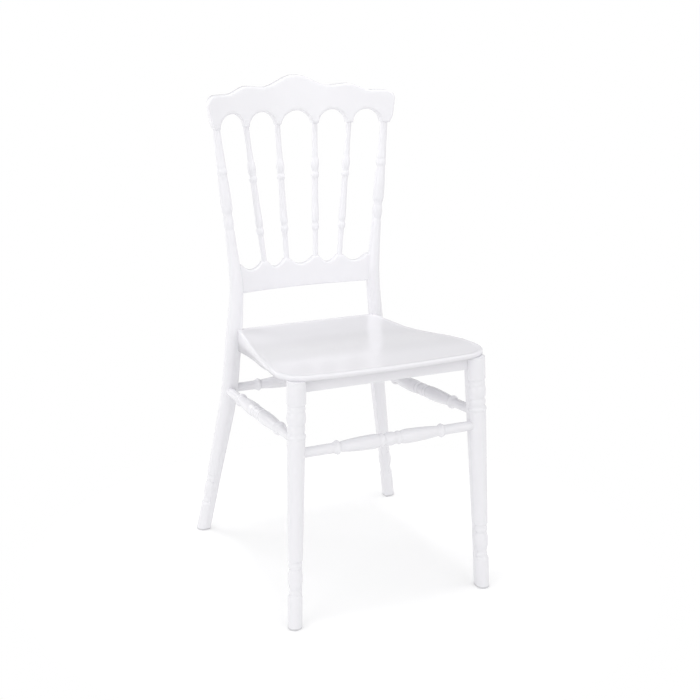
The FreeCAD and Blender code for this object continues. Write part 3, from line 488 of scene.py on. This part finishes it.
# %% Front legs
foot_steps = [(56.5, 12.9, 0), (7, 10.2, 0.9), (6, 10.2, 0.9), (6, 10.2, -0.45), (33.5, 11, 2.4),
              (3.5, 11.2, -0.9), (8, 11.2, 0.9), (7, 13.1, -0.9)]
head_steps = [(9, 14.8, 1.7), (3.5, 14.8, -0.7), (9.5, 14.8, 0.7), (3.5, 14.8, -0.7),
              (22, 14.8, 2.0), (9.5, 14.8, 0.7), (3.5, 16.7, -0.7), (41, 16.7, 0)]
UNDER, SOLE = 6.0, 4.0
LEG_HEIGHTS, LEG_SIZES = (-UNDER, 127.5, 346, LIP), (12.6, 12.8, 15.5, 16.4)
leg_points = soften(outline(12.9, [(UNDER, 12.9, 0)] + foot_steps + [(218.5, 15.8, 0)]
                            + head_steps))
for name, side in SIDES:
    low, high = leg_axis(side, -UNDER), leg_axis(side, LIP)
    leg = stood(spun(leg_points), low, high, leg_points[-1][1])
    corner = squared_corner(corner_stations(leg_axis, LEG_HEIGHTS, LEG_SIZES, side), -side, 1)
    leg, corner = (trimmed(trimmed(part, SOLE, True), LIP, False) for part in (leg, corner))
    finished("leg_front_" + name, merged(leg, corner), ["front_leg_" + name])

# %% [markdown]
# ## Rear posts
#
# A rear post is leg and back upright in one. Its outline could be swept along a curve, but then
# the beads would lose their spacing. So it is spun straight, like the front legs, and each ring
# of points is carried onto the bent axis, square to it, which is what steam does to wood.

# %% Rear posts
post_steps = foot_steps + [(134.5, 14.8, 0), (167, 14.6, 0), (116, 12.6, 0.35), (84, 9.2, -0.4),
                           (7, 8.6, -0.4), (23, 8.6, 1.3), (7, 8.6, -0.4), (12, 10.9, 0.7),
                           (60, 8.6, 0.7), (13, 8.6, 1.3), (10, 8.6, 0.5), (62, 6.7, 0)]
post_points = soften(outline(12.9, [(UNDER, 12.9, 0)] + post_steps))


def carried(bm, axis, start):
    """Carries a piece that was spun along Z onto a bent axis."""
    for vert in bm.verts:
        z = vert.co.z + start
        centre = axis(z)
        along = (axis(z + 0.5) - axis(z - 0.5)).normalized()
        right = (Vector((1, 0, 0)) - along * along.x).normalized()
        vert.co = centre + right * vert.co.x + along.cross(right) * vert.co.y
    return bm


POST_HEIGHTS = (-UNDER, 127.5, 262, 304, 346, 387, 429, 462, 495, 527, 560)
POST_SIZES = (12.6, 12.8, 14.5, 14.45, 14.4, 14.35, 14.3, 12.9, 11.5, 10.0, 8.6)
for name, side in SIDES:
    post = carried(spun(post_points), lambda z: post_axis(side, z), -UNDER)
    corner = squared_corner(corner_stations(post_axis, POST_HEIGHTS, POST_SIZES, side), -side, -1)
    post = merged(trimmed(post, SOLE, True), trimmed(corner, SOLE, True))
    finished("post_rear_" + name, post, ["rear_post_" + name])

# %% [markdown]
# ## Spindles and stretchers
#
# The four spindles share one outline, and fan out from the lower rail to the crest. They could be
# copies of one mesh that are turned into place, but a piece keeps its place in its own mesh, so a
# loop spins each one and stands it between its two points.

# %% Spindles
spindle_steps = [(54, 5.3, 0), (15, 6.0, 1.9), (14, 7.4, 0.5), (74, 5.8, -0.3), (13, 6.0, 2.1),
                 (28, 6.0, 2.0), (26, 5.3, 0), (42, 5.3, 0)]
spindle_points = soften(outline(5.3, spindle_steps))
SPREAD = ((80.5, 107.0, -1), (31.0, 39.0, -1), (31.0, 39.0, 1), (80.5, 107.0, 1))
TENON = 3.0 / (CREST - RAIL)
for number, (low_x, high_x, side) in enumerate(SPREAD, start=1):
    low = Vector((side * low_x, back_y(low_x, RAIL), RAIL))
    high = Vector((side * high_x, back_y(high_x, CREST), CREST))
    reach = (high - low) * TENON
    spindle = stood(spun(spindle_points, turns=40), low - reach, high + reach,
                    spindle_points[-1][1])
    finished("spindle_turned_%d" % number, spindle, ["spindle_%d" % number])

# %% [markdown]
# ## Stretchers
#
# The four stretchers tie the legs together. Their pattern is the same from the middle to either
# end, so only half of it is written down and then mirrored. The plain stretch before the outer
# bead takes up the difference in length, as a turner would let it.


# %% Stretchers
def stretcher_points(bead, half):
    """Full outline of a stretcher from the distance of its outer bead and its half length."""
    reach = bead - 5.6 - 38.0
    steps = [(8.5, 10.6, 0.5), (2.5, 9.8, 0), (9, 10.6, 1.9), (18, 12.8, 0.9), (reach, 8.9, 0.9),
             (5.6, 12.8, 0.5), (8.4, 8.9, -0.5), (half - bead - 8.4, 8.7, 0)]
    right = outline(12.0, steps)
    whole = [(r, -h) for r, h in reversed(right[1:])] + right
    return [(r, h + half) for r, h in soften(whole)]


def stretcher(name, start, end, bead):
    """Spins a stretcher to fit between two points."""
    half = (end - start).length / 2
    turned = stood(spun(stretcher_points(bead, half), turns=44), start, end, 2 * half)
    finished(name + "_turned", turned, [name])


FRONT_HIGH, REAR_HIGH, SIDE_FRONT_HIGH, SIDE_REAR_HIGH = 319, 313, 342.5, 308
stretcher("front_stretcher", leg_axis(-1, FRONT_HIGH), leg_axis(1, FRONT_HIGH), bead=101.0)
stretcher("rear_stretcher", post_axis(-1, REAR_HIGH), post_axis(1, REAR_HIGH), bead=102.0)
for name, side in SIDES:
    stretcher(name + "_stretcher", leg_axis(side, SIDE_FRONT_HIGH),
              post_axis(side, SIDE_REAR_HIGH), bead=113.0)

# %% [markdown]
# ## Rails of the back
#
# The crest rail and the rail below the spindles have an edge of swells, arches and scallops. They
# could be traced point by point, but a maker sets them out with a few measures and curves, and so
# do these three functions. Each gives the points after its first.


# %% Curves of the rails
def swell(a, b, count=14):
    """Curve from a to b that leaves and arrives level."""
    points = []
    for i in range(1, count + 1):
        t = i / count
        points.append((a[0] + (b[0] - a[0]) * t, a[1] + (b[1] - a[1]) * t * t * (3 - 2 * t)))
    return points


def arch(a, b, rise, count=20):
    """Circular arc from a to b, both at one height, rising above them (or dipping below)."""
    half = (b[0] - a[0]) / 2
    radius = (half * half + rise * rise) / (2 * abs(rise))
    turn = atan2(abs(half), radius - abs(rise))
    sign = 1 if rise > 0 else -1
    points = []
    for i in range(1, count + 1):
        angle = -turn + 2 * turn * i / count
        x = a[0] + half + (1 if half > 0 else -1) * radius * sin(angle)
        points.append((x, a[1] + rise - sign * (radius - radius * cos(angle))))
    return points


def scallop(a, b, depth, count=14):
    """Dip from a to b with a parabola's slope at its ends."""
    return [(a[0] + (b[0] - a[0]) * i / count, a[1] - 4 * depth * (i / count) * (1 - i / count))
            for i in range(1, count + 1)]


print("an arch of 52 by 26 mm peaks at", max(z for _, z in arch((0, 0), (52, 0), 26)), "mm")

# %% [markdown]
# ## A board that bends
#
# Both rails are cut from a curved board. Bending a flat shape is the simplest way to get there:
# the outline is drawn flat and made a slab, its edges are rounded with a bevel, it is sliced into
# small fields so that it can bend, and then every point moves onto the curve of the back.


# %% Board
def board(half_outline, thickness, rounding, pitch=7.0):
    """Slab from the right half of a symmetric outline, with rounded edges, sliced to bend."""
    mirror = [(-x, z) for x, z in reversed(half_outline) if x > 0.001]
    bm = bmesh.new()
    verts = [bm.verts.new((x, -thickness / 2, z)) for x, z in half_outline + mirror]
    face = bm.faces.new(verts)
    grown = bmesh.ops.extrude_face_region(bm, geom=[face])["geom"]
    bmesh.ops.translate(bm, vec=(0, thickness, 0),
                        verts=[item for item in grown if isinstance(item, bmesh.types.BMVert)])
    bmesh.ops.recalc_face_normals(bm, faces=bm.faces)
    rims = [edge for edge in bm.edges if abs(edge.verts[0].co.y - edge.verts[1].co.y) < 0.01]
    bmesh.ops.bevel(bm, geom=rims, offset=rounding, segments=5, profile=0.5, material=-1,
                    affect="EDGES")
    for normal, low, high in ((Vector((1, 0, 0)), -196, 197), (Vector((0, 0, 1)), 500, 920)):
        at = low
        while at < high:
            bmesh.ops.bisect_plane(bm, geom=bm.verts[:] + bm.edges[:] + bm.faces[:],
                                   plane_co=normal * at, plane_no=normal)
            at += pitch
    return bm


def bent(bm):
    """Moves a flat board onto the curve and the lean of the back."""
    for vert in bm.verts:
        x, depth, z = vert.co
        centre = back_y(0, z) - BACK_RADIUS
        vert.co.y = centre + sqrt((BACK_RADIUS + depth) ** 2 - x * x)
    return bm


print("the back bulges", back_y(0, RAIL) - back_y(TOP_X, RAIL), "mm between its posts")

# %% [markdown]
# ## Crest and lower rail
#
# The crest has a hump in the middle, swells to either side, round ends and five arches below, one
# over each gap of the back. The lower rail answers with five dips. Both are drawn as a right half
# from the middle outwards, since a board mirrors it.

# %% Crest rail
ARCH, END_X, END_Z, END_RADIUS = 26, 174, 868.5, 17
crest_half = [(0, 916), (4, 916)] + swell((4, 916), (68, 895.4)) + swell((68, 895.4), (105, 898.4))
crest_half += swell((105, 898.4), (148, 885.5)) + [(END_X, END_Z + END_RADIUS)]
crest_half += [(END_X + END_RADIUS * sin(radians(a)), END_Z + END_RADIUS * cos(radians(a)))
               for a in range(15, 91, 15)]
crest_half += [(186.3, 835), (180.3, CREST), (165.5, CREST)]
crest_half += arch((165.5, CREST), (113, CREST), ARCH) + [(101, CREST)]
crest_half += arch((101, CREST), (45, CREST), ARCH) + [(33, CREST)]
crest_half += [p for p in arch((33, CREST), (-33, CREST), ARCH) if p[0] >= -0.001]
crest = bent(board(crest_half, thickness=18.0, rounding=4.0))
finished("crest_board", crest, ["crest_rail"], sharp=40)

# %% Lower rail
DIP, RAIL_END, RAIL_UNDER, RAIL_BOW = 12.8, 146, 506, 2.8
rail_half = [(0, RAIL - DIP)]
rail_half += [p for p in scallop((-25, RAIL), (25, RAIL), DIP, 20) if p[0] > 0.1]
rail_half += [(37, RAIL)] + scallop((37, RAIL), (74.5, RAIL), DIP) + [(86.5, RAIL)]
rail_half += scallop((86.5, RAIL), (132.5, RAIL), DIP)
rail_half += [(RAIL_END, RAIL), (RAIL_END, RAIL_UNDER + RAIL_BOW)]
rail_half += [(x, RAIL_UNDER + RAIL_BOW * (x / RAIL_END) ** 2) for x in (125, 100, 75, 50, 25, 0)]
lower = bent(board(rail_half, thickness=15.0, rounding=3.0))
finished("lower_board", lower, ["lower_back_rail"], sharp=40)

# %% [markdown]
# ## The seat
#
# The seat is a thin moulded panel with a rolled front lip, and its sides turn down into skirts
# that deepen towards the posts. It could be sculpted, but its plan and its side view are simple
# curves. So the plan is drawn flat, given walls and a rounded rim, and sunk a little behind the
# rim in a few insets. Then it is sliced, and every point is moved to the height of the side view.
# A Solidify modifier gives the wall its thickness.

# %% Side view and plan of the seat
SEAT_FRONT, SEAT_REAR, FALL_START, FALL_LENGTH = 456.5, 438.0, -165.0, 235.0
SKIRT_START, SKIRT_LENGTH, SKIRT_LOW = -139.0, 308.0, 393.0
FRONT_EDGE, FRONT_BOW, CORNER_POINTS = -229, 7, 14
FRONT_CORNER = ((150, -222), (178, -219.4), (198.5, -199), (198.5, -171))


def seat_top(y):
    """Height of the seat, which falls from front to rear in a soft S."""
    t = min(max((y - FALL_START) / FALL_LENGTH, 0), 1)
    return SEAT_FRONT - (SEAT_FRONT - SEAT_REAR) * t * t * (3 - 2 * t)


def skirt_edge(y):
    """Height of the lower edge of the skirt."""
    return LIP - max(y - SKIRT_START, 0) * (LIP - SKIRT_LOW) / SKIRT_LENGTH


side_x = clamped((-171.0, 0.0, 169.0), (198.5, 173.0, 148.0), 0.0, -0.12)
seat_half = [(x, FRONT_EDGE + FRONT_BOW * (x / 150) ** 2) for x in range(0, 151, 25)]
for i in range(1, CORNER_POINTS + 1):
    t = i / CORNER_POINTS
    weights = ((1 - t) ** 3, 3 * t * (1 - t) ** 2, 3 * t * t * (1 - t), t ** 3)
    seat_half.append(tuple(sum(w * p[k] for w, p in zip(weights, FRONT_CORNER)) for k in (0, 1)))
seat_half += [(side_x(y), y) for y in range(-163, 160, 10)] + [(148, 169), (0, 169)]
print("half of the seat's plan has", len(seat_half), "points")

# %% Seat panel
EDGE, RIM, WALL, SLICE = 9, 3.6, 4.4, 9
DISH = ((1.5, 0.0), (1.5, -0.10), (1.5, -0.25), (1.5, -0.25), (1.5, -0.10))
bm = bmesh.new()
plan = seat_half + [(-x, y) for x, y in reversed(seat_half) if x > 0.001]
face = bm.faces.new([bm.verts.new((x, y, 0)) for x, y in plan])
grown = bmesh.ops.extrude_face_region(bm, geom=[face])["geom"]
bmesh.ops.translate(bm, vec=(0, 0, -EDGE),
                    verts=[item for item in grown if isinstance(item, bmesh.types.BMVert)])
bmesh.ops.recalc_face_normals(bm, faces=bm.faces)
rim = [edge for edge in bm.edges if all(vert.co.z > -0.01 for vert in edge.verts)]
bmesh.ops.bevel(bm, geom=rim, offset=RIM, segments=6, profile=0.5, material=-1, affect="EDGES")
under = [face for face in bm.faces if all(vert.co.z < 0.1 - EDGE for vert in face.verts)]
bmesh.ops.delete(bm, geom=under, context="FACES_ONLY")
field = max(bm.faces, key=lambda face: face.calc_area())
for width, sink in DISH:
    bmesh.ops.inset_region(bm, faces=[field], thickness=width, depth=sink, use_even_offset=True)
for normal, low, high in (((1, 0, 0), -198, 199), ((0, 1, 0), -228, 170)):
    for at in range(low, high, SLICE):
        bmesh.ops.bisect_plane(bm, geom=bm.verts[:] + bm.edges[:] + bm.faces[:],
                               plane_co=Vector(normal) * at, plane_no=normal)
for vert in bm.verts:
    x, y, z = vert.co
    vert.co.z = skirt_edge(y) if z < 0.1 - EDGE else seat_top(y) + z
# The seat takes the darker resin, whose colour is painted shade
seat = finished("seat_shell", bm, ["seat_panel"], seat_resin_painted_shade, sharp=50)
wall = seat.modifiers.new("wall", "SOLIDIFY")
wall.thickness, wall.offset, wall.use_even_offset = WALL * MM, -1.0, False

# %% [markdown]
# ## Under the seat
#
# A thin panel needs ribs. They could be left to the CAD piece, but the panel replaces that. They
# follow the underside, so each is a thin bar that is sliced along its length and bent with the
# same side view as the seat. The front apron is a plain board between the front legs, just
# behind the lip.


# %% Ribs and apron
def bar(*spans):
    """A plain box from its spans along x, y and z."""
    bm = bmesh.new()
    bmesh.ops.create_cube(bm, size=1.0)
    bmesh.ops.scale(bm, vec=[high - low for low, high in spans], verts=bm.verts)
    bmesh.ops.translate(bm, vec=[(low + high) / 2 for low, high in spans], verts=bm.verts)
    return bm


def under_seat(bm):
    """Slices a bar along the depth of the seat and hangs it under the panel."""
    for at in range(-190, 160, 12):
        bmesh.ops.bisect_plane(bm, geom=bm.verts[:] + bm.edges[:] + bm.faces[:],
                               plane_co=(0, at, 0), plane_no=(0, 1, 0))
    for vert in bm.verts:
        vert.co.z += seat_top(vert.co.y) - WALL
    return bm


RIB_PLACES, RIB_HALF = (-124, -62, 0, 62, 124), 1.5
RIB_HEIGHT, KEEPER_HEIGHT = (-8, 0.6), (-16, 0.6)
ribs = bmesh.new()
for x in RIB_PLACES:
    merged(ribs, under_seat(bar((x - RIB_HALF, x + RIB_HALF), (-192, 155), RIB_HEIGHT)))
for y in RIB_PLACES:
    half = side_x(y) - 5
    merged(ribs, under_seat(bar((-half, half), (y - RIB_HALF, y + RIB_HALF), RIB_HEIGHT)))
merged(ribs, under_seat(bar((-149, 149), (-192, -187), KEEPER_HEIGHT)))
merged(ribs, under_seat(bar((-118, 118), (154.5, 159.4), KEEPER_HEIGHT)))
finished("seat_ribs", ribs, (), seat_resin_painted_shade)

apron = bar((-158, 158), (-206, -192), (423.5, 452))
bmesh.ops.bevel(apron, geom=apron.edges[:], offset=1.4, segments=4, profile=0.5, material=-1,
                affect="EDGES")
finished("apron_board", apron, ["front_apron"])

# %% [markdown]
# ## Floor
#
# A plain pale disc carries the chair. The photographer's floor is so bright that it is white
# except under the seat. More light would do that, but would wash out the chair too. So the
# lights see a plain matt floor, while the camera and reflections see it lifted until open floor
# is white and only the shadow under the seat stays.


# %% Floor
NEAR_FLOOR, FAR_FLOOR, FLOOR_LIFT = 0.30, 0.62, 0.30


def floor_finish():
    """Matt to the lights, and lifted to white for the camera and for reflections."""
    finish = Finish("studio floor")
    grain = finish.noise(60.0, 3.0)
    plain, faint = (finish.node("ShaderNodeBsdfDiffuse", {}, {
        "Color": finish.blend(grain, [pale] * 3, [dull] * 3)})
        for pale, dull in ((0.90, 0.88), (0.80, 0.79)))
    lift, white = (finish.node("ShaderNodeEmission", {}, {"Strength": strength})
                   for strength in (FLOOR_LIFT, 1.0))
    near = finish.node("ShaderNodeAddShader", {}, {0: faint.outputs[0], 1: lift.outputs[0]})
    far = finish.node("ShaderNodeVectorMath", {"operation": "LENGTH"}, {0: finish.place()})
    away = finish.span(finish.value(far, "Value"), NEAR_FLOOR, FAR_FLOOR, 0.0, 1.0)
    rays = finish.node("ShaderNodeLightPath")
    camera_ray, glossy_ray, through_ray = (finish.value(rays, "Is %s Ray" % kind)
                                           for kind in ("Camera", "Glossy", "Transmission"))
    return finish.closed(finish.crossed(camera_ray + glossy_ray + through_ray, plain,
                                        finish.crossed(away, near, white)))


bm = bmesh.new()
bmesh.ops.create_circle(bm, cap_ends=True, segments=96, radius=60.0)
floor_mesh = bpy.data.meshes.new("studio_floor")
bm.to_mesh(floor_mesh)
bm.free()
floor_mesh.materials.append(floor_finish())
floor = bpy.data.objects.new("studio_floor", floor_mesh)
bpy.context.scene.collection.objects.link(floor)
print("floor:", tuple(floor.dimensions))

# %% [markdown]
# ## The room
#
# Glossy white shows its shape by what it mirrors. A world of one colour would leave the turnings
# flat, so the room is pale in front of the chair and grey behind it, and edges that turn away
# from the camera go darker, as they do in the photograph. Down at the horizon it meets the white
# floor.

# %% World
studio = bpy.data.worlds.new("studio")
bpy.context.scene.world = studio
sky = Finish("studio", studio)
way = sky.node("ShaderNodeTexCoord").outputs["Generated"]
way = sky.node("ShaderNodeSeparateXYZ", {}, {0: way})
room = 1 - sky.span(sky.value(way, 1), -0.9, 0.9, 0.0, 1.0)
horizon = sky.span(sky.value(way, 2), 0.02, 0.08, 1.0, 0.0)
wall_colour = sky.blend(room, (0.38, 0.38, 0.385), (0.94, 0.94, 0.94))
glow = sky.node("ShaderNodeBackground", {}, {"Color": sky.blend(horizon, wall_colour, (1, 1, 1)),
                                             "Strength": 1.0})
sky.closed(glow, "ShaderNodeOutputWorld")
print("world:", studio.name, "with", len(sky.tree.nodes), "nodes")

# %% [markdown]
# ## Lights
#
# White on white needs light that still falls off round each turning, so no side is lit flat out.
# Soft panels stand to the left, in front and to the right. A small one behind reaches the legs
# under the seat, and one overhead gives the seat its shadow on the floor.


# %% Lights
def panel(name, place, aim, size, watts):
    """A soft square light that faces a point, in metres."""
    lamp = bpy.data.lights.new(name, "AREA")
    lamp.shape, lamp.size, lamp.energy = "SQUARE", size, watts
    holder = bpy.data.objects.new(name, lamp)
    bpy.context.scene.collection.objects.link(holder)
    facing = Vector(aim) - Vector(place)
    holder.matrix_world = (Matrix.Translation(place)
                           @ facing.to_track_quat("-Z", "Y").to_matrix().to_4x4())
    print(name, "at", place, "with", watts, "W")


panel("left panel", (-2.2, -0.95, 0.95), (0, 0, 0.5), size=1.5, watts=11)
panel("front panel", (0.80, -2.30, 1.55), (0, 0, 0.6), size=1.5, watts=4.5)
panel("right panel", (1.6, -0.85, 1.5), (0, 0, 0.6), size=1.2, watts=3)
panel("rear panel", (-0.87, 1.04, 1.1), (0, 0, 0.3), size=0.8, watts=5)
panel("top panel", (0, 0, 2.6), (0, 0, 0.4), size=0.6, watts=11)

# %% [markdown]
# ## The camera
#
# The place of the camera was worked out from the four feet, the seat and the crest. It stands to
# the left of the chair, above the crest, and looks 24 degrees across and 17 down. It could be
# aimed at the chair with a constraint, but two angles say the same and nothing can move it.

# %% Camera
AZIMUTH, ELEVATION, CAMERA_PLACE = -24.1, 16.67, (-0.8587, -1.9617, 1.0641)
turn, tilt = radians(AZIMUTH), radians(ELEVATION)
right = Vector((cos(turn), sin(turn), 0))
back = Vector((sin(turn) * cos(tilt), -cos(turn) * cos(tilt), sin(tilt)))
up = back.cross(right)
lens = bpy.data.cameras.new("camera")
lens.lens, lens.sensor_width = 61.08, 36.0
lens.clip_end = 100
camera = bpy.data.objects.new("camera", lens)
bpy.context.scene.collection.objects.link(camera)
camera.matrix_world = (Matrix.Translation(CAMERA_PLACE)
                       @ Matrix((right, up, back)).transposed().to_4x4())
bpy.context.scene.camera = camera
bpy.context.scene.view_settings.view_transform = "Standard"
print("camera faces", -back)

# %% [markdown]
# ## Sizes
#
# The dressed chair has to stay as large as its CAD model. This last step only brings the scene up
# to date.

# %% Bring the scene up to date
bpy.context.view_layer.update()
